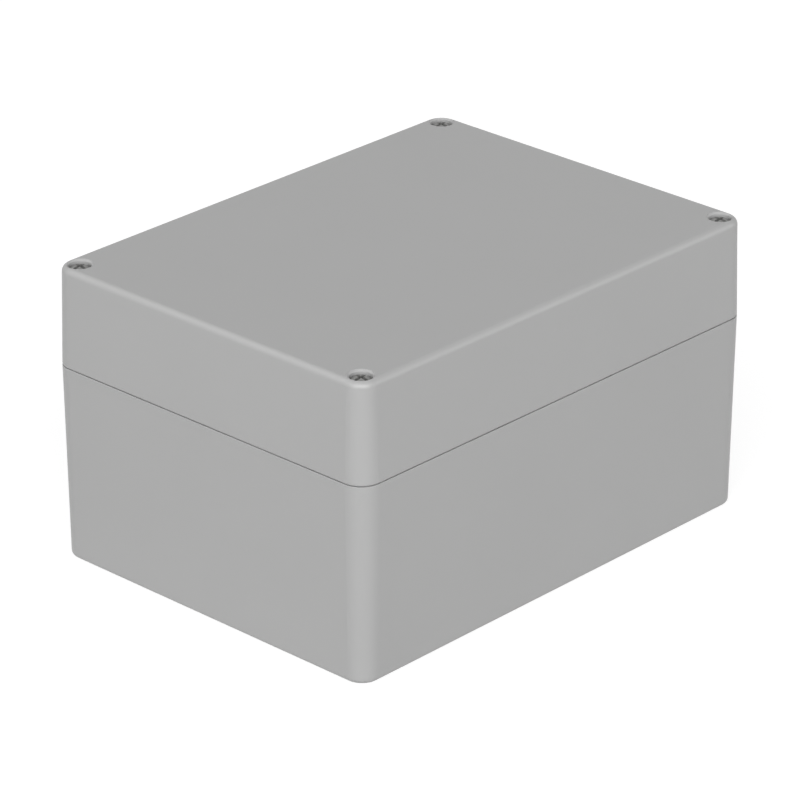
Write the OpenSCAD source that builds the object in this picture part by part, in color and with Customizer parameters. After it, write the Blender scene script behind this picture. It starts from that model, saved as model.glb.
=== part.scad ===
// Moulded polycarbonate enclosure: a deep base and a lid, closed by four captive corner screws.
// The origin is the middle of the underside, X runs along the length and Z points up.

/* [Body] */
// Length of the body at its parting plane
body_l = 160; // [140:1:240]
// Width of the body at its parting plane
body_w = 120; // [104:1:200]
// Height of the base, up to the parting plane
base_h = 60; // [40:1:120]
// Height of the lid, above the parting plane
lid_h = 30; // [22:1:60]
// Radius of the upright corners at the parting plane
corner_r = 6.5; // [5:0.1:9]
// Draft of the base's outside, in degrees
base_draft = 0.8; // [0.3:0.1:1.5]
// Draft of the lid's outside, in degrees
lid_draft = 1.5; // [0.3:0.1:2.5]
// Radius of the round along the lid's top edge
top_round = 2; // [0.5:0.1:3]
// Radius of the round along the base's bottom edge
bottom_round = 1.5; // [0.5:0.1:3]
// Radius of the round along the lid's lower edge
skirt_round = 0.45; // [0.1:0.05:0.45]
// Radius of the round along the base's upper edge
rim_round = 0.15; // [0.1:0.05:0.45]
// Height of the shadow gap between the base's outer rim and the lid
shadow_gap = 0.2; // [0.1:0.05:0.4]
// Depth of the shadow gap from the outside
shadow_depth = 0.7; // [0.5:0.05:0.7]

/* [Walls] */
// Wall of the base at its rim
base_wall = 3.4; // [3:0.1:4.5]
// Thickness of the base's floor
floor_t = 3; // [2:0.1:5]
// Thickness of the lid's top
lid_top_t = 3; // [2:0.1:5]
// Draft of the inside walls, in degrees
inner_draft = 0.5; // [0.2:0.1:1]

/* [Seal] */
// Distance of the seal's middle line from the outside of the body
seal_inset = 2.2; // [2:0.1:2.6]
// Width of the tongue on the base's rim
tongue_w = 1.2; // [0.8:0.1:1.6]
// Height of the tongue above the parting plane
tongue_h = 2.2; // [1.5:0.1:4]
// Gap between the tongue and each side of the lid's groove
tongue_gap = 0.3; // [0.1:0.05:0.4]
// Thickness of the gasket once it is pressed
gasket_t = 1.3; // [0.8:0.1:2.5]
// Gap between the gasket and each side of its groove
gasket_gap = 0.05; // [0.02:0.01:0.2]
// Thickness of the lid's rib inside the groove
rib_w = 1.3; // [0.8:0.1:1.6]
// Gap under the lid's rib
rib_gap = 0.4; // [0.1:0.1:1]

/* [Corners] */
// Distance of the lid screws from both outside faces
screw_inset = 6; // [5.6:0.1:7]
// Radius of the seal's turn round a screw or fixing hole
land_r = 6.5; // [6:0.1:8]
// Distance from a lid screw to the wall fixing hole beside it
fixing_offset = 13; // [10:0.5:16]
// Diameter of the wall fixing holes
fixing_hole_d = 4.5; // [3.5:0.1:5.5]
// Diameter of the channels that lead a wall screw's head to its seat
fixing_channel_d = 7.4; // [6.5:0.1:7.8]
// Height of the wall screw's seat above the underside
fixing_seat_h = 5; // [3:0.5:12]

/* [Lid screws] */
// Thread diameter
screw_d = 4; // [3:0.1:4.2]
// Diameter of the pan head
head_d = 6.2; // [6:0.1:7]
// Height of the pan head, with its dome
head_h = 3; // [2.2:0.1:3.5]
// Rise of the head's domed top
head_dome = 0.9; // [0.3:0.1:1.2]
// Depth of the head's top below the lid's top
head_sink = 0.5; // [0.4:0.1:3]
// Reach of the screw into the base
thread_reach = 8.5; // [6:0.5:14]
// Bevel at the tip of the screw
tip_bevel = 0.5; // [0.2:0.1:0.8]
// Width across the cross recess
cross_d = 4.4; // [3.6:0.1:5]
// Width of each slot of the cross recess
cross_slot = 1; // [0.6:0.1:1.4]
// Depth of the cross recess
cross_depth = 1.4; // [1:0.1:2]
// Gap round the head in its recess
recess_gap = 0.15; // [0.1:0.05:0.3]
// Bevel along the rim of each recess
recess_bevel = 0.55; // [0.1:0.05:0.6]
// Gap round the screw in its lid bore
bore_gap = 0.3; // [0.1:0.05:0.5]

/* [Retaining rings] */
// Outer diameter of a ring
ring_d = 6.4; // [6:0.1:6.8]
// Thickness of a ring
ring_t = 1.2; // [0.8:0.1:2]
// Height of a ring above the parting plane with the lid shut
ring_gap = 0.5; // [0.3:0.1:1]
// Gap round a ring in its pocket
ring_side_gap = 0.3; // [0.1:0.05:0.4]
// Rise of a screw before its ring stops it
screw_rise = 10; // [9:0.5:14]
// Gap above a ring when its screw is fully out
ring_end_gap = 0.3; // [0.1:0.1:1]

/* [Inserts] */
// Outer diameter of an insert
insert_d = 5.6; // [5.2:0.1:6]
// Length of an insert
insert_l = 9; // [6:0.5:14]
// Depth of an insert below the base's rim
insert_sink = 0.3; // [0.1:0.1:1]
// Depth of the ring groove round an insert
insert_groove = 0.3; // [0.1:0.05:0.5]
// Gap round an insert in its hole
insert_gap = 0.05; // [0.02:0.01:0.1]
// Running gap between a screw and what it turns in
running_gap = 0.05; // [0.02:0.01:0.1]
// Free depth below the screw's tip or the insert, whichever is lower
relief_depth = 4; // [1:0.5:8]

/* [Board bosses] */
// Distance between the bosses along the length
boss_pitch_l = 110; // [60:1:116]
// Distance between the bosses along the width
boss_pitch_w = 80; // [40:1:94]
// Diameter of a boss
boss_d = 7; // [5.5:0.1:9]
// Height of a boss above the floor
boss_h = 6; // [3:0.5:15]
// Diameter of the pilot hole in a boss
pilot_d = 2.9; // [2:0.1:3.5]
// Depth of the pilot hole in a boss
pilot_depth = 6; // [4:0.5:8]

/* [Hidden] */
$fn = 64;
corner_names = ["front_left", "front_right", "back_right", "back_left"];
corner_signs = [[-1, -1], [1, -1], [1, 1], [-1, 1]];
shell_grey = [0.65, 0.65, 0.64];
gasket_black = [0.12, 0.12, 0.12];
screw_steel = [0.6, 0.6, 0.58];
ring_nylon = [0.82, 0.81, 0.77];
insert_brass = [0.78, 0.62, 0.32];

// Overshoot of a cut past the face that it opens
overshoot = 1;
// Straight runs between the upright corners
span_l = body_l - 2 * corner_r;
span_w = body_w - 2 * corner_r;
body_h = base_h + lid_h;

// Screw axes, wall fixing axes and the seal's middle line
screw_x = body_l / 2 - screw_inset;
screw_y = body_w / 2 - screw_inset;
fixing_y = screw_y - fixing_offset;
seal_x = body_l / 2 - seal_inset;
seal_y = body_w / 2 - seal_inset;
// Radius of the seal's outward turns, and where its straight runs end
turn_r = screw_inset - seal_inset;
run_x = screw_x - land_r - turn_r;
run_y = fixing_y - land_r - turn_r;

groove_w = tongue_w + 2 * tongue_gap;
groove_depth = tongue_h + gasket_t;
// Offsets of the inside walls from the seal's middle line
base_inside = seal_inset - base_wall;
lid_inside = -(groove_w / 2 + rib_w);

screw_r = screw_d / 2;
head_top = body_h - head_sink;
head_seat = head_top - head_h;
dome_r = fine((head_d * head_d / 4 + head_dome * head_dome) / (2 * head_dome));
screw_tip = base_h - thread_reach;
recess_r = head_d / 2 + recess_gap;
running_r = screw_r + running_gap;
ring_low = base_h + ring_gap;
ring_pocket_r = ring_d / 2 + ring_side_gap;
ring_pocket_top = ring_low + ring_t + screw_rise + ring_end_gap;
insert_top = base_h - insert_sink;
insert_low = insert_top - insert_l;
relief_low = min(insert_low, screw_tip) - relief_depth;

// A length to the nearest micrometre, so that neighbouring pieces meet exactly.
function fine(x) = round(x * 1000) / 1000;

// A quarter of a disc in the first quadrant.
module quarter_disc(r) {
    intersection() {
        circle(r);
        square(r);
    }
}

// Half section of a shell's outside, from the corner's middle line (x = 0) out to the face.
// It is widest at the parting plane (y = 0), where its edge may stand clear by a gap, and it is
// rounded by near_r there and by far_r at its other end.
module outside_section(h, draft, near_r, far_r, gap) {
    near = gap + near_r;
    far = h - far_r;
    near_x = fine(corner_r - near * tan(draft));
    far_x = fine(corner_r - far * tan(draft));
    land_x = corner_r - shadow_depth;
    polygon(concat(
        [[0, 0]],
        gap > 0 ? [[land_x, 0], [land_x, gap]] : [],
        [
            [near_x - near_r, gap],
            [near_x - near_r, near],
            [near_x, near],
            [far_x, far],
            [far_x - far_r, far],
            [far_x - far_r, h],
            [0, h],
        ]
    ));
    translate([near_x - near_r, near]) mirror([0, 1]) quarter_disc(near_r);
    translate([far_x - far_r, far]) quarter_disc(far_r);
}

// Solid block with drafted sides, round upright corners and round edges at both ends.
module drafted_block(h, draft, near_r, far_r, gap) {
    translate([-span_l / 2, -span_w / 2, 0]) cube([span_l, span_w, h]);
    for (turn = [0, 180]) {
        rotate(turn) translate([0, span_w / 2, 0]) rotate([90, 0, 90])
            linear_extrude(span_l, center = true) outside_section(h, draft, near_r, far_r, gap);
        rotate(turn) translate([span_l / 2, 0, 0]) rotate([90, 0, 0])
            linear_extrude(span_w, center = true) outside_section(h, draft, near_r, far_r, gap);
    }
    for (i = [0:3]) {
        translate([corner_signs[i].x * span_l / 2, corner_signs[i].y * span_w / 2, 0])
            rotate(180 + 90 * i) rotate_extrude(angle = 90) outside_section(h, draft, near_r, far_r, gap);
    }
}

// Upright strip between y = start and y = end, from x = 0 out to a wall that leans
// from x = out_low to x = out_high.
module strip(start, end, out_low, out_high, low, high) {
    translate([0, end, 0]) rotate([90, 0, 0]) linear_extrude(end - start)
        polygon([[0, low], [out_low, low], [out_high, high], [0, high]]);
}

// Quarter of a round post whose radius goes from r_low to r_high.
module quarter_post(r_low, r_high, low, high) {
    rotate_extrude(angle = 90) polygon([[0, low], [r_low, low], [r_high, high], [0, high]]);
}

// All that lies inside the seal's middle line between two heights.
// The line is moved outwards by d_low at the bottom and by d_high at the top.
module inside_seal(low, high, d_low, d_high) {
    beside_x = screw_x - land_r;
    difference() {
        translate([-screw_x, -fixing_y, low]) cube([2 * screw_x, 2 * fixing_y, high - low]);
        for (s = corner_signs) {
            translate([s.x * screw_x, s.y * fixing_y, low])
                cylinder(h = high - low, r1 = land_r - d_low, r2 = land_r - d_high);
        }
    }
    for (turn = [0, 180]) {
        rotate(turn) strip(-run_y, run_y, seal_x + d_low, seal_x + d_high, low, high);
        rotate(turn + 90) strip(-run_x, run_x, seal_y + d_low, seal_y + d_high, low, high);
        for (side = [0, 1]) {
            rotate(turn) mirror([0, side, 0])
                strip(fixing_y, screw_y, beside_x + d_low, beside_x + d_high, low, high);
        }
    }
    for (i = [0:3]) {
        s = corner_signs[i];
        translate([s.x * screw_x, s.y * run_y, 0]) rotate(180 + 90 * i)
            quarter_post(turn_r + d_low, turn_r + d_high, low, high);
        translate([s.x * run_x, s.y * screw_y, 0]) rotate(180 + 90 * i)
            quarter_post(turn_r + d_low, turn_r + d_high, low, high);
    }
}

// Upright ring of width w that follows the seal's middle line.
module seal_ring(low, high, w) {
    difference() {
        inside_seal(low, high, w / 2, w / 2);
        inside_seal(low - overshoot, high + overshoot, -w / 2, -w / 2);
    }
}

// Puts a piece on a screw axis.
module at_screw(i) {
    translate([corner_signs[i].x * screw_x, corner_signs[i].y * screw_y, 0]) children();
}

// Puts a piece on a wall fixing axis.
module at_fixing(i) {
    translate([corner_signs[i].x * screw_x, corner_signs[i].y * fixing_y, 0]) children();
}

// Puts a piece on a board boss's axis.
module at_boss(i) {
    translate([corner_signs[i].x * boss_pitch_l / 2, corner_signs[i].y * boss_pitch_w / 2, 0]) children();
}

// Upright cylinder between two heights.
module post(r, low, high) {
    translate([0, 0, low]) cylinder(h = high - low, r = r);
}

// Space inside the base, drafted from its rim to its floor.
module base_space() {
    top = base_h + overshoot;
    d_low = fine(base_inside - (top - floor_t) * tan(inner_draft));
    inside_seal(floor_t, top, d_low, fine(base_inside));
}

// Stepped hole for an insert, with room below it for the screw's tip.
module insert_hole() {
    post(insert_d / 2 + insert_gap, insert_low, base_h + overshoot);
    post(screw_r + bore_gap, relief_low, base_h);
}

// Wall fixing hole, with the channel that opens under the lid.
module fixing_hole() {
    post(fixing_hole_d / 2, -overshoot, base_h);
    post(fixing_channel_d / 2, fixing_seat_h, base_h + overshoot);
}

// The deep shell: walls, corner columns, seal tongue and board bosses in one moulding.
module base() {
    color(shell_grey) difference() {
        union() {
            difference() {
                union() {
                    translate([0, 0, base_h]) mirror([0, 0, 1])
                        drafted_block(base_h, base_draft, rim_round, bottom_round, shadow_gap);
                    seal_ring(base_h - overshoot, base_h + tongue_h, tongue_w);
                }
                base_space();
            }
            for (i = [0:3]) {
                at_boss(i) post(boss_d / 2, floor_t - overshoot, floor_t + boss_h);
            }
        }
        for (i = [0:3]) {
            at_screw(i) insert_hole();
            at_fixing(i) fixing_hole();
            at_boss(i) post(pilot_d / 2, floor_t + boss_h - pilot_depth, floor_t + boss_h + overshoot);
        }
    }
}

// Space inside the lid, drafted from its rim to its top.
module lid_space() {
    bottom = base_h - overshoot;
    top = body_h - lid_top_t;
    d_high = fine(lid_inside - (top - bottom) * tan(inner_draft));
    inside_seal(bottom, top, fine(lid_inside), d_high);
}

// Passage of a lid screw: bevelled recess, head seat, bore and the retaining ring's pocket.
module screw_passage() {
    post(recess_r, head_seat, body_h + overshoot);
    translate([0, 0, body_h - recess_bevel])
        cylinder(h = recess_bevel + overshoot, r1 = recess_r, r2 = recess_r + recess_bevel + overshoot);
    post(screw_r + bore_gap, base_h - overshoot, body_h);
    post(ring_pocket_r, base_h - overshoot, ring_pocket_top);
}

// The upper shell, with the gasket's groove in its rim and the screw recesses in its corners.
module lid() {
    color(shell_grey) difference() {
        translate([0, 0, base_h]) drafted_block(lid_h, lid_draft, skirt_round, top_round, 0);
        lid_space();
        seal_ring(base_h - overshoot, base_h + groove_depth, groove_w);
        inside_seal(base_h - overshoot, base_h + rib_gap, 0, 0);
        for (i = [0:3]) {
            at_screw(i) screw_passage();
            at_fixing(i) post(fixing_channel_d / 2, base_h - overshoot, body_h - lid_top_t);
        }
    }
}

// Soft ring at the bottom of the lid's groove, pressed by the tongue.
module gasket() {
    color(gasket_black)
        seal_ring(base_h + tongue_h, base_h + groove_depth, groove_w - 2 * gasket_gap);
}

// Cross recess for a screwdriver: two slots whose ends taper towards the bottom.
module cross_recess() {
    low = head_top - cross_depth;
    taper = cross_depth / 2;
    intersection() {
        translate([0, 0, low])
            cylinder(h = 2 * cross_depth, r1 = cross_d / 2 - taper, r2 = cross_d / 2 + taper);
        union() {
            for (turn = [0, 90]) {
                rotate(turn) translate([-cross_d, -cross_slot / 2, low])
                    cube([2 * cross_d, cross_slot, 2 * cross_depth]);
            }
        }
    }
}

// Captive pan head screw, its thread drawn as a plain shank of full diameter.
module lid_screw(i) {
    color(screw_steel) at_screw(i) difference() {
        rotate_extrude() {
            polygon([
                [0, screw_tip],
                [screw_r - tip_bevel, screw_tip],
                [screw_r, screw_tip + tip_bevel],
                [screw_r, head_seat + overshoot],
                [0, head_seat + overshoot],
            ]);
            intersection() {
                translate([0, head_seat]) square([head_d / 2, head_h + overshoot]);
                translate([0, head_top - dome_r]) circle(dome_r);
            }
        }
        cross_recess();
    }
}

// Plastic ring that rides on the shank and stops the screw from leaving the lid.
module retaining_ring(i) {
    color(ring_nylon) at_screw(i) difference() {
        post(ring_d / 2, ring_low, ring_low + ring_t);
        post(running_r, ring_low - overshoot, ring_low + ring_t + overshoot);
    }
}

// Brass insert with a ring groove round its middle, its thread drawn as a plain bore.
module insert(i) {
    r = insert_d / 2;
    third = insert_l / 3;
    color(insert_brass) at_screw(i) rotate_extrude() polygon([
        [running_r, insert_low],
        [r, insert_low],
        [r, insert_low + third],
        [r - insert_groove, insert_low + third],
        [r - insert_groove, insert_top - third],
        [r, insert_top - third],
        [r, insert_top],
        [running_r, insert_top],
    ]);
}

base();
lid();
gasket();
for (i = [0:3]) {
    lid_screw(i);
    retaining_ring(i);
    insert(i);
}
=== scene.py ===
import math

import bmesh
import bpy
from mathutils import Matrix, Quaternion, Vector


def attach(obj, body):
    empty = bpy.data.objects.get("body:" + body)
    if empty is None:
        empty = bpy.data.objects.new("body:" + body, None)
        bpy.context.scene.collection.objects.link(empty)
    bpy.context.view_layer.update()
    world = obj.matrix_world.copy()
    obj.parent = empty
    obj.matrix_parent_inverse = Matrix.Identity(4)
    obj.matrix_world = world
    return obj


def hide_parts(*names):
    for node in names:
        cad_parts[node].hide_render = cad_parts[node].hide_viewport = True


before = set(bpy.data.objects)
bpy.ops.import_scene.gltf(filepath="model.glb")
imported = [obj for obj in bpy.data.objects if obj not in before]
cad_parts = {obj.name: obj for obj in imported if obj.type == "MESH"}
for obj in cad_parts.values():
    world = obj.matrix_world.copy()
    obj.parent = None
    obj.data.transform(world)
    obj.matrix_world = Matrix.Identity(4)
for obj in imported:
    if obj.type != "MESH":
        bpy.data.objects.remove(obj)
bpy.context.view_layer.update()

# Base: the deep lower shell, injection moulded in light grey polycarbonate, with its corner
# columns, seal tongue and board bosses in one piece. The mould was spark eroded, which leaves a
# matt grain. Ejector pins left round marks on the floor inside, and the sprue one underneath.
mm = 0.001
shell_light = (0.372, 0.372, 0.371, 1)
shell_dark = (0.350, 0.350, 0.349, 1)
shell_smoothest, shell_roughest = 0.34, 0.42
grain_share, grain_depth = 0.35, 0.02 * mm
mark_edge, mark_depth, mark_polish = 0.2 * mm, 0.06 * mm, 0.14
height_stretch = 20
base_marks = [(40, 26, 3, 4), (0, 46, 3, 4), (70, 0, 3, 3), (0, 0, 0, 2.2)]


def node(material, kind, inputs, **settings):
    """Outputs of a new shader node. Each input is a value, or the socket that feeds it."""
    made = material.node_tree.nodes.new("ShaderNode" + kind)
    for name, value in settings.items():
        setattr(made, name, value)
    for key, value in inputs.items():
        if isinstance(value, bpy.types.NodeSocket):
            material.node_tree.links.new(value, made.inputs[key])
        else:
            made.inputs[key].default_value = value
    return made.outputs


def finish_of(name, **sockets):
    """A new material and its shader, with what is the same all over set on the shader."""
    material = bpy.data.materials.new(name)
    material.use_nodes = True
    shader = material.node_tree.nodes["Principled BSDF"]
    for key, value in sockets.items():
        shader.inputs[key.replace("_", " ")].default_value = value
    return material, shader


def feed(material, shader, **sockets):
    """Links sockets of the shader to the outputs that drive them."""
    for key, output in sockets.items():
        material.node_tree.links.new(output, shader.inputs[key.replace("_", " ")])


def grained_polycarbonate(name, marks):
    """Moulded polycarbonate with round tool marks, which are the same in each quarter.

    Each mark is its x, y, height and radius, in mm.
    """
    plastic, shader = finish_of(name, IOR=1.58)
    place = node(plastic, "TexCoord", {})["Object"]
    flow = node(plastic, "TexNoise", {"Vector": place, "Scale": 26, "Detail": 2})[0]
    grain = node(
        plastic, "TexNoise", {"Vector": place, "Scale": 2300, "Detail": 3, "Roughness": 0.6}
    )[0]
    shade = node(plastic, "Mix", {0: grain_share, 2: flow, 3: grain})[0]
    colour = node(
        plastic, "Mix", {0: shade, 6: shell_dark, 7: shell_light}, data_type="RGBA"
    )[2]
    matt = node(
        plastic, "MapRange",
        {"Value": grain, "To Min": shell_smoothest, "To Max": shell_roughest},
    )[0]

    # A mark is found by the distance from its spot in each quarter, with heights stretched so that
    # a mark on one side of a wall doesn't show on the other.
    at = node(plastic, "SeparateXYZ", {0: place})
    along = node(plastic, "Math", {0: at["X"]}, operation="ABSOLUTE")[0]
    across = node(plastic, "Math", {0: at["Y"]}, operation="ABSOLUTE")[0]
    height = node(plastic, "Math", {0: at["Z"], 1: height_stretch}, operation="MULTIPLY")[0]
    quarter = node(plastic, "CombineXYZ", {"X": along, "Y": across, "Z": height})[0]
    marked = None
    for x, y, z, r in marks:
        spot = (x * mm, y * mm, height_stretch * z * mm)
        away = node(plastic, "VectorMath", {0: quarter, 1: spot}, operation="DISTANCE")["Value"]
        reach = {"From Min": r * mm - mark_edge, "From Max": r * mm}
        disc = node(plastic, "MapRange", {"Value": away, "To Min": 1, "To Max": 0, **reach})[0]
        if marked is None:
            marked = disc
        else:
            marked = node(plastic, "Math", {0: marked, 1: disc}, operation="MAXIMUM")[0]
    matt = node(
        plastic, "Math", {0: marked, 1: -mark_polish, 2: matt}, operation="MULTIPLY_ADD"
    )[0]
    sunk = node(
        plastic, "Bump", {"Height": marked, "Strength": 0.8, "Distance": mark_depth}, invert=True
    )[0]
    rough = node(
        plastic, "Bump",
        {"Height": grain, "Strength": 0.3, "Distance": grain_depth, "Normal": sunk},
    )[0]
    feed(plastic, shader, Base_Color=colour, Roughness=matt, Normal=rough)
    return plastic


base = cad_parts["base"]
base.data.materials[0] = grained_polycarbonate("base polycarbonate", base_marks)

# Inserts: turned brass bushes with an M4 thread, one in each corner column of the base. They have
# two bands of straight knurling with a groove between, and are pressed in hot, so that the plastic
# grips them.
corners = {
    "front_left": (-1, -1), "front_right": (1, -1), "back_right": (1, 1), "back_left": (-1, 1)
}
screw_x, screw_y = 74 * mm, 54 * mm
insert_low, insert_top = 50.7 * mm, 59.7 * mm
insert_r, insert_groove_r = 2.8 * mm, 2.5 * mm
insert_bevel = 0.2 * mm
band = (insert_top - insert_low) / 3
knurl_r, knurl_teeth = 2.64 * mm, 36
bore_r, bore_root_r = 2.06 * mm, 2.32 * mm
pitch = 0.7 * mm
foot_half, crest_half = 0.43 * pitch, 0.07 * pitch
ridge_sunk = 0.02 * mm
steps_per_turn = 40
touching = 1e-7
fading_turn, least_ridge = 0.7, 0.02
insert_thread_low, insert_turns = insert_low + 0.6 * mm, 11
brass_yellow = (0.72, 0.53, 0.24, 1)
stained, stain_share = 0.78, 0.5
gloss_spread = 0.1


def spun(profile, steps):
    """A bmesh ring, turned from a closed outline of (radius, height) points."""
    bm = bmesh.new()
    points = [bm.verts.new((r, 0, z)) for r, z in profile]
    lines = [bm.edges.new(pair) for pair in zip(points, points[1:] + points[:1])]
    bmesh.ops.spin(
        bm, geom=points + lines, axis=(0, 0, 1), cent=(0, 0, 0), angle=2 * math.pi, steps=steps,
        use_merge=True,
    )
    bmesh.ops.remove_doubles(bm, verts=bm.verts, dist=touching)
    bmesh.ops.recalc_face_normals(bm, faces=bm.faces)
    return bm


def add_thread(bm, foot, crest, low, turns):
    """Adds the ridge of a right-hand M4 thread, which fades out at both ends of its run."""
    before = set(bm.verts)
    outline = [(foot, -foot_half), (crest, -crest_half), (crest, crest_half), (foot, foot_half)]
    section = bm.faces.new([bm.verts.new((r, 0, low + z)) for r, z in outline])
    bmesh.ops.spin(
        bm, geom=[section], axis=(0, 0, 1), cent=(0, 0, 0), dvec=(0, 0, pitch / steps_per_turn),
        angle=2 * math.pi * turns, steps=steps_per_turn * turns,
    )
    for v in set(bm.verts) - before:
        part = math.atan2(v.co.y, v.co.x) / (2 * math.pi) % 1
        turn = part + round((v.co.z - low) / pitch - part)
        fade = max(least_ridge, min(1, turn / fading_turn, (turns - turn) / fading_turn))
        r = v.co.xy.length
        v.co.xy *= (foot + (r - foot) * fade) / r
    bmesh.ops.recalc_face_normals(bm, faces=bm.faces)


def finished(bm, name, material, sharp_angle, body, replaced):
    """Makes a bmesh a smooth-shaded piece that rides on a body and replaces a CAD node."""
    mesh = bpy.data.meshes.new(name)
    bm.to_mesh(mesh)
    bm.free()
    mesh.materials.append(material)
    mesh.shade_smooth()
    mesh.set_sharp_from_angle(angle=math.radians(sharp_angle))
    piece = bpy.data.objects.new(name, mesh)
    bpy.context.scene.collection.objects.link(piece)
    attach(piece, body)
    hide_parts(replaced)


def turned_metal(name, colour, dull, axis):
    """Bare metal with the fine rings of a lathe or a die round its axis, and faint stains."""
    metal, shader = finish_of(name, Metallic=1)
    place = node(metal, "TexCoord", {})["Object"]
    to_axis = (-axis[0], -axis[1], 0)
    centred = node(metal, "Mapping", {"Vector": place, "Location": to_axis})[0]
    at = node(metal, "SeparateXYZ", {0: centred})
    flat = node(metal, "CombineXYZ", {"X": at["X"], "Y": at["Y"]})[0]
    reach = node(metal, "VectorMath", {0: flat}, operation="LENGTH")["Value"]
    rings = node(metal, "CombineXYZ", {"X": reach, "Z": at["Z"]})[0]
    lines = node(metal, "TexNoise", {"Vector": rings, "Scale": 9000, "Detail": 3})[0]
    stain = node(metal, "TexNoise", {"Vector": place, "Scale": 700, "Detail": 3})[0]
    dark = tuple(stained * c for c in colour[:3]) + (1,)
    shade = node(metal, "Mix", {0: stain, 6: dark, 7: colour}, data_type="RGBA")[2]
    gloss = node(metal, "Mix", {0: stain_share, 2: lines, 3: stain})[0]
    gloss = node(
        metal, "MapRange",
        {"Value": gloss, "To Min": dull - gloss_spread, "To Max": dull + gloss_spread},
    )[0]
    bump = node(metal, "Bump", {"Height": lines, "Strength": 0.25, "Distance": 0.01 * mm})[0]
    feed(metal, shader, Base_Color=shade, Roughness=gloss, Normal=bump)
    return metal


for corner, (side_x, side_y) in corners.items():
    axis = (side_x * screw_x, side_y * screw_y)
    bm = spun(
        [
            (bore_root_r, insert_low + insert_bevel), (bore_root_r + insert_bevel, insert_low),
            (insert_r - insert_bevel, insert_low), (insert_r, insert_low + insert_bevel),
            (insert_r, insert_low + band), (insert_groove_r, insert_low + band),
            (insert_groove_r, insert_top - band), (insert_r, insert_top - band),
            (insert_r, insert_top - insert_bevel), (insert_r - insert_bevel, insert_top),
            (bore_root_r + insert_bevel, insert_top), (bore_root_r, insert_top - insert_bevel),
        ],
        2 * knurl_teeth,
    )
    for v in bm.verts:
        valley = round(math.atan2(v.co.y, v.co.x) / math.pi * knurl_teeth) % 2
        if valley and v.co.xy.length > knurl_r:
            v.co.xy *= knurl_r / v.co.xy.length
    add_thread(bm, bore_root_r + ridge_sunk, bore_r, insert_thread_low, insert_turns)
    bmesh.ops.translate(bm, verts=bm.verts, vec=(*axis, 0))
    brass = turned_metal(f"insert brass {corner}", brass_yellow, dull=0.3, axis=axis)
    finished(
        bm, f"brass_insert_{corner}", brass, sharp_angle=30, body="base",
        replaced=f"insert_{corner}",
    )

# Lid: the shallow upper shell, moulded in the same polycarbonate. Its rim holds the gasket's
# groove, and each corner a recess for a screw's head. Ejector pins and the gate left their marks on
# the inside only.
lid_marks = [(40, 26, 87, 4), (0, 46, 87, 4), (68, 0, 87, 3), (0, 0, 87, 2.2)]

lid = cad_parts["lid"]
lid.data.materials[0] = grained_polycarbonate("lid polycarbonate", lid_marks)

# Gasket: one endless bead of black rubber, foamed into the groove of the lid's rim. Its lower edges
# are round, and its path steps inwards round the screws and the wall fixing holes, which stay
# outside the seal.
seal_y = 57.8 * mm
land_r, turn_r = 6.5 * mm, 3.8 * mm
fixing_y = 41 * mm
run_x, run_y = screw_x - land_r - turn_r, fixing_y - land_r - turn_r
gasket_half, gasket_low, gasket_top = 0.85 * mm, 62.2 * mm, 63.5 * mm
gasket_round = 0.45 * mm
round_angles = (0, 0.39, 0.79, 1.18, 1.57)
turn_steps = 14
seam = 1e-6
rubber_black = (0.012, 0.012, 0.013, 1)
rubber_bloomed = (0.034, 0.034, 0.035, 1)

bm = bmesh.new()
outer = [
    (
        gasket_half - gasket_round + gasket_round * math.sin(t),
        gasket_low + gasket_round * (1 - math.cos(t)),
    )
    for t in round_angles
]
outline = outer + [(gasket_half, gasket_top), (-gasket_half, gasket_top)]
outline += [(-out, z) for out, z in reversed(outer)]
points = [bm.verts.new((0, seal_y + out, z)) for out, z in outline]
end = [bm.edges.new(pair) for pair in zip(points, points[1:] + points[:1])]


def straight(end, way):
    """Draws the bead's end on along a straight run, and returns the new end."""
    made = bmesh.ops.extrude_edge_only(bm, edges=end)["geom"]
    moved = [g for g in made if isinstance(g, bmesh.types.BMVert)]
    bmesh.ops.translate(bm, verts=moved, vec=way)
    drawn = [g for g in made if isinstance(g, bmesh.types.BMEdge)]
    return [e for e in drawn if all(v in moved for v in e.verts)]


def turned(end, centre, angle):
    """Draws the bead's end on round a turn, and returns the new end."""
    corner_points = list({v for e in end for v in e.verts})
    made = bmesh.ops.spin(
        bm, geom=corner_points + end, axis=(0, 0, 1), cent=(*centre, 0),
        angle=math.radians(angle), steps=turn_steps,
    )["geom_last"]
    return [g for g in made if isinstance(g, bmesh.types.BMEdge)]


end = straight(end, (run_x, 0, 0))
end = turned(end, (run_x, screw_y), -90)
end = straight(end, (0, fixing_y - screw_y, 0))
end = turned(end, (screw_x, fixing_y), 90)
end = turned(end, (screw_x, run_y), -90)
end = straight(end, (0, -run_y, 0))
for across in ("X", "Y"):
    drawn = bm.verts[:] + bm.edges[:] + bm.faces[:]
    bmesh.ops.mirror(bm, geom=drawn, axis=across, merge_dist=seam)
bmesh.ops.remove_doubles(bm, verts=bm.verts, dist=seam)
bmesh.ops.recalc_face_normals(bm, faces=bm.faces)

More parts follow.
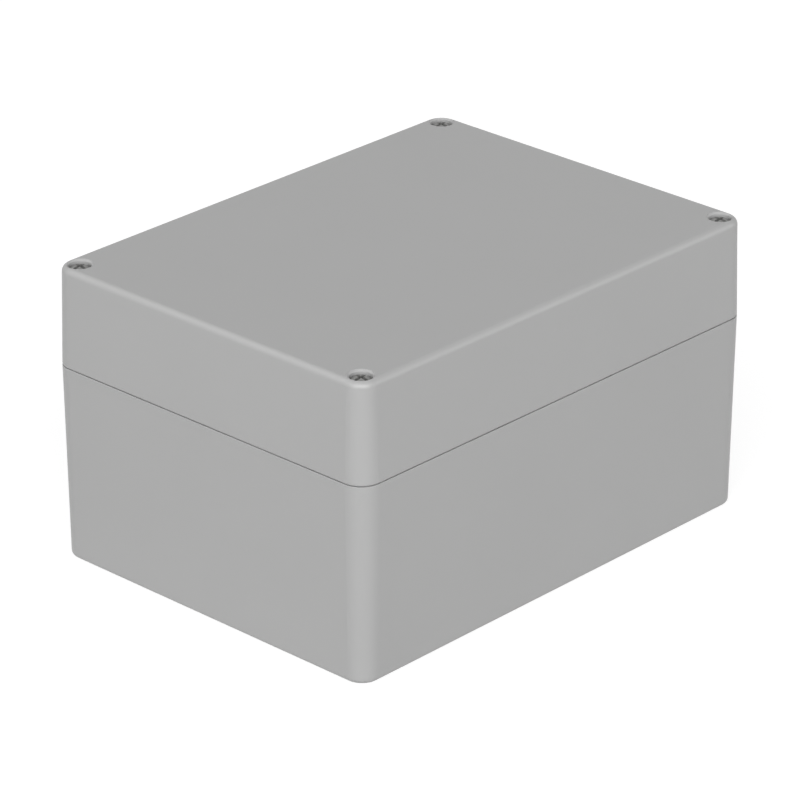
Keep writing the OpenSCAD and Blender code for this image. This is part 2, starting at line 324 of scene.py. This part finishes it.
rubber, shader = finish_of("gasket rubber", Specular_IOR_Level=0.35)
place = node(rubber, "TexCoord", {})["Object"]
cells = node(rubber, "TexVoronoi", {"Vector": place, "Scale": 3200})[0]
bloom = node(rubber, "TexNoise", {"Vector": place, "Scale": 260, "Detail": 4})[0]
colour = node(rubber, "Mix", {0: bloom, 6: rubber_black, 7: rubber_bloomed}, data_type="RGBA")[2]
dull = node(rubber, "MapRange", {"Value": bloom, "To Min": 0.62, "To Max": 0.82})[0]
skin = node(rubber, "Bump", {"Height": cells, "Strength": 0.35, "Distance": 0.03 * mm})[0]
feed(rubber, shader, Base_Color=colour, Roughness=dull, Normal=skin)
finished(
    bm, "rubber_gasket", rubber, sharp_angle=50, body="lid", replaced="gasket"
)

# Retaining rings: small washers moulded in natural nylon, one on each screw's waisted shank. They
# are wider than the lid's bore and narrower inside than the thread, so an undone screw stays in
# the lid.
ring_low, ring_top = 60.5 * mm, 61.7 * mm
ring_r, ring_bore_r = 3.2 * mm, 1.86 * mm
ring_round = 0.22 * mm
ring_steps = 64
nylon_dark = (0.58, 0.56, 0.50, 1)
nylon_light = (0.68, 0.66, 0.61, 1)
light_depth = 0.6 * mm

nylon, shader = finish_of(
    "ring nylon", Subsurface_Weight=0.15, Subsurface_Scale=light_depth, IOR=1.53
)
place = node(nylon, "TexCoord", {})["Object"]
cloud = node(nylon, "TexNoise", {"Vector": place, "Scale": 420, "Detail": 3})[0]
colour = node(nylon, "Mix", {0: cloud, 6: nylon_dark, 7: nylon_light}, data_type="RGBA")[2]
gloss = node(nylon, "MapRange", {"Value": cloud, "To Min": 0.36, "To Max": 0.5})[0]
tool = node(nylon, "Bump", {"Height": cloud, "Strength": 0.3, "Distance": 0.03 * mm})[0]
feed(nylon, shader, Base_Color=colour, Roughness=gloss, Normal=tool)


def runs_round(edge):
    """Whether an edge of a ring lies along its circles, and not across them."""
    a, b = (v.co for v in edge.verts)
    return abs(a.z - b.z) < touching and abs(a.xy.length - b.xy.length) < touching


for corner, (side_x, side_y) in corners.items():
    bm = spun(
        [
            (ring_bore_r, ring_low), (ring_r, ring_low),
            (ring_r, ring_top), (ring_bore_r, ring_top),
        ],
        ring_steps,
    )
    bmesh.ops.bevel(
        bm, geom=[e for e in bm.edges if runs_round(e)], offset=ring_round, offset_type="OFFSET",
        affect="EDGES", segments=3, profile=0.5, material=-1,
    )
    bmesh.ops.translate(bm, verts=bm.verts, vec=(side_x * screw_x, side_y * screw_y, 0))
    finished(
        bm, f"nylon_ring_{corner}", nylon, sharp_angle=40, body=f"ring_{corner}",
        replaced=f"retaining_ring_{corner}",
    )

# Lid screws: captive M4 screws of plain steel, 35 mm under the head. The domed pan head is cold
# formed with a cross recess, the shank is waisted above the thread, and the thread is rolled.
head_top, head_seat, screw_tip = 89.5 * mm, 86.5 * mm, 51.5 * mm
head_r, crown_r, dome_r = 3.1 * mm, 2.9 * mm, 5.789 * mm
rim_in_and_down = ((0.09 * mm, 0.88 * mm), (0.03 * mm, 1 * mm), (0, 1.15 * mm))
seat_bevel, neck_bevel, tip_bevel = 0.15 * mm, 0.2 * mm, 0.3 * mm
shank_r, core_r, crest_r = 1.8 * mm, 1.62 * mm, 1.99 * mm
thread_top = 60.2 * mm
screw_thread_low, screw_turns = screw_tip + 0.55 * mm, 11
cross_r, slot_half, cross_depth = 2.2 * mm, 0.5 * mm, 1.4 * mm
slot_slope, pit_narrowing = 0.22 * mm, 0.6
crown_cuts = (slot_half, 0.9 * mm, 1.3 * mm, 1.75 * mm, cross_r, 2.55 * mm)
steel_grey = (0.25, 0.25, 0.245, 1)

for corner, (side_x, side_y) in corners.items():
    # The crown is cut both ways, along the slots' sides and into strips fine enough for its dome.
    bm = bmesh.new()
    bmesh.ops.create_circle(bm, cap_ends=True, segments=72, radius=crown_r)
    for way in (Vector((1, 0, 0)), Vector((0, 1, 0))):
        for reach in crown_cuts:
            for side in (-reach, reach):
                crown = bm.verts[:] + bm.edges[:] + bm.faces[:]
                bmesh.ops.bisect_plane(bm, geom=crown, plane_co=way * side, plane_no=way)
    cross = []
    for f in bm.faces:
        near, far = sorted(abs(c) for c in f.calc_center_median().xy)
        if near < slot_half and far < cross_r:
            cross.append(f)
    bmesh.ops.recalc_face_normals(bm, faces=bm.faces)
    if bm.faces[0].normal.z < 0:
        bmesh.ops.reverse_faces(bm, faces=bm.faces)
    bmesh.ops.inset_region(
        bm, faces=cross, thickness=slot_slope, depth=-cross_depth, use_even_offset=True
    )
    pit = {v for f in cross for v in f.verts}
    bmesh.ops.scale(bm, verts=list(pit), vec=(pit_narrowing, pit_narrowing, 1))
    for v in bm.verts:
        v.co.z += head_top - dome_r + math.sqrt(dome_r ** 2 - v.co.xy.length_squared)

    # The outside is drawn down ring by ring, from the dome's edge to the tip.
    outside = [(head_r - inward, head_top - down) for inward, down in rim_in_and_down]
    outside += [
        (head_r, head_seat + seat_bevel), (head_r - seat_bevel, head_seat),
        (shank_r + neck_bevel, head_seat), (shank_r, head_seat - neck_bevel),
        (shank_r, thread_top + neck_bevel), (core_r, thread_top),
        (core_r, screw_tip + tip_bevel), (core_r - tip_bevel, screw_tip),
    ]
    for r, z in outside:
        rim = [e for e in bm.edges if e.is_boundary]
        for made in bmesh.ops.extrude_edge_only(bm, edges=rim)["geom"]:
            if isinstance(made, bmesh.types.BMVert):
                made.co.xy *= r / made.co.xy.length
                made.co.z = z
    bmesh.ops.contextual_create(bm, geom=[e for e in bm.edges if e.is_boundary])
    bmesh.ops.recalc_face_normals(bm, faces=bm.faces)
    add_thread(bm, core_r - ridge_sunk, crest_r, screw_thread_low, screw_turns)
    axis = (side_x * screw_x, side_y * screw_y)
    bmesh.ops.translate(bm, verts=bm.verts, vec=(*axis, 0))
    steel = turned_metal(f"screw steel {corner}", steel_grey, dull=0.5, axis=axis)
    finished(
        bm, f"steel_screw_{corner}", steel, sharp_angle=35, body=f"screw_{corner}",
        replaced=f"lid_screw_{corner}",
    )

# Stage: a pale floor that is white to the eye and keeps a soft shadow, in even white surroundings.
# A wide softbox stands behind the camera, and a strip light at each side is turned to lie along the
# reflections in the lid's round top edges.
ambient = 0.17
paper_grey = (0.35, 0.35, 0.35, 1)
paper_glow = 0.8
floor_half, floor_z = 6, -0.1 * mm
middle = Vector((0, 0, 45 * mm))


def shows_white(tree):
    """1 where a ray comes from the camera, a reflection or a clear body, else 0."""
    path = tree.nodes.new("ShaderNodeLightPath")
    total = path.outputs["Is Camera Ray"]
    for name in ("Is Glossy Ray", "Is Transmission Ray"):
        either = tree.nodes.new("ShaderNodeMath")
        either.operation = "MAXIMUM"
        tree.links.new(total, either.inputs[0])
        tree.links.new(path.outputs[name], either.inputs[1])
        total = either.outputs[0]
    return total


paper = bpy.data.materials.new("floor paper")
paper.use_nodes = True
tree = paper.node_tree
tree.nodes.clear()
surface = tree.nodes.new("ShaderNodeOutputMaterial")
matt = node(paper, "BsdfDiffuse", {"Color": paper_grey})[0]
bright = node(paper, "Math", {0: shows_white(tree), 1: paper_glow}, operation="MULTIPLY")[0]
glow = node(paper, "Emission", {"Strength": bright})[0]
lit = node(paper, "AddShader", {0: matt, 1: glow})[0]
clear = node(paper, "BsdfTransparent", {})[0]
below = node(paper, "NewGeometry", {})["Backfacing"]
shown = node(paper, "MixShader", {0: below, 1: lit, 2: clear})[0]
tree.links.new(shown, surface.inputs["Surface"])

bm = bmesh.new()
bmesh.ops.create_grid(bm, x_segments=1, y_segments=1, size=floor_half)
bmesh.ops.translate(bm, verts=bm.verts, vec=(0, 0, floor_z))
floor_mesh = bpy.data.meshes.new("floor")
bm.to_mesh(floor_mesh)
bm.free()
floor_mesh.materials.append(paper)
floor = bpy.data.objects.new("floor", floor_mesh)
bpy.context.scene.collection.objects.link(floor)

world = bpy.data.worlds.new("studio")
bpy.context.scene.world = world
world.use_nodes = True
tree = world.node_tree
strength = tree.nodes.new("ShaderNodeMapRange")
tree.links.new(shows_white(tree), strength.inputs["Value"])
strength.inputs["To Min"].default_value = ambient
strength.inputs["To Max"].default_value = 1
background = tree.nodes["Background"]
background.inputs["Color"].default_value = (1, 1, 1, 1)
tree.links.new(strength.outputs[0], background.inputs["Strength"])

for name, toward, roll, away, wide, tall, power in (
    ("key softbox", (-0.74, -0.673, 0.535), 0, 3, 5.2, 2.4, 145.5),
    ("left strip", (-0.44, 0.62, 0.645), 45, 2.6, 0.95, 2.6, 13),
    ("right strip", (0.69, -0.64, 0.31), -45, 2.6, 0.7, 1.6, 7.8),
):
    light = bpy.data.lights.new(name, "AREA")
    light.shape = "RECTANGLE"
    light.size = wide
    light.size_y = tall
    light.energy = power
    lamp = bpy.data.objects.new(name, light)
    way = Vector(toward).normalized()
    lamp.location = middle + away * way
    facing = (-way).to_track_quat("-Z", "Y") @ Quaternion((0, 0, 1), math.radians(roll))
    lamp.rotation_euler = facing.to_euler()
    lamp.visible_camera = False
    bpy.context.scene.collection.objects.link(lamp)

# Camera: a long lens that looks down on the front left corner, at the photograph's angle. Its turn,
# tilt, distance, aim and lens were fitted to the photographed corners of the body, and nothing is
# out of focus.
turn, tilt = math.radians(-46.7855), math.radians(24.9638)
distance = 1.27372
aim_left, aim_down = 1.0632 * mm, 4.1872 * mm

right = Vector((math.cos(turn), math.sin(turn), 0))
level = math.cos(tilt)
back = Vector((math.sin(turn) * level, -math.cos(turn) * level, math.sin(tilt)))
up = back.cross(right)
stand = middle - aim_left * right - aim_down * up + distance * back
lens = bpy.data.cameras.new("camera")
lens.sensor_width = 36
lens.lens = 200.76
camera = bpy.data.objects.new("camera", lens)
axes = Matrix((right, up, back)).transposed().to_4x4()
camera.matrix_world = Matrix.Translation(stand) @ axes
bpy.context.scene.collection.objects.link(camera)
bpy.context.scene.camera = camera
bpy.context.scene.view_settings.view_transform = "Standard"
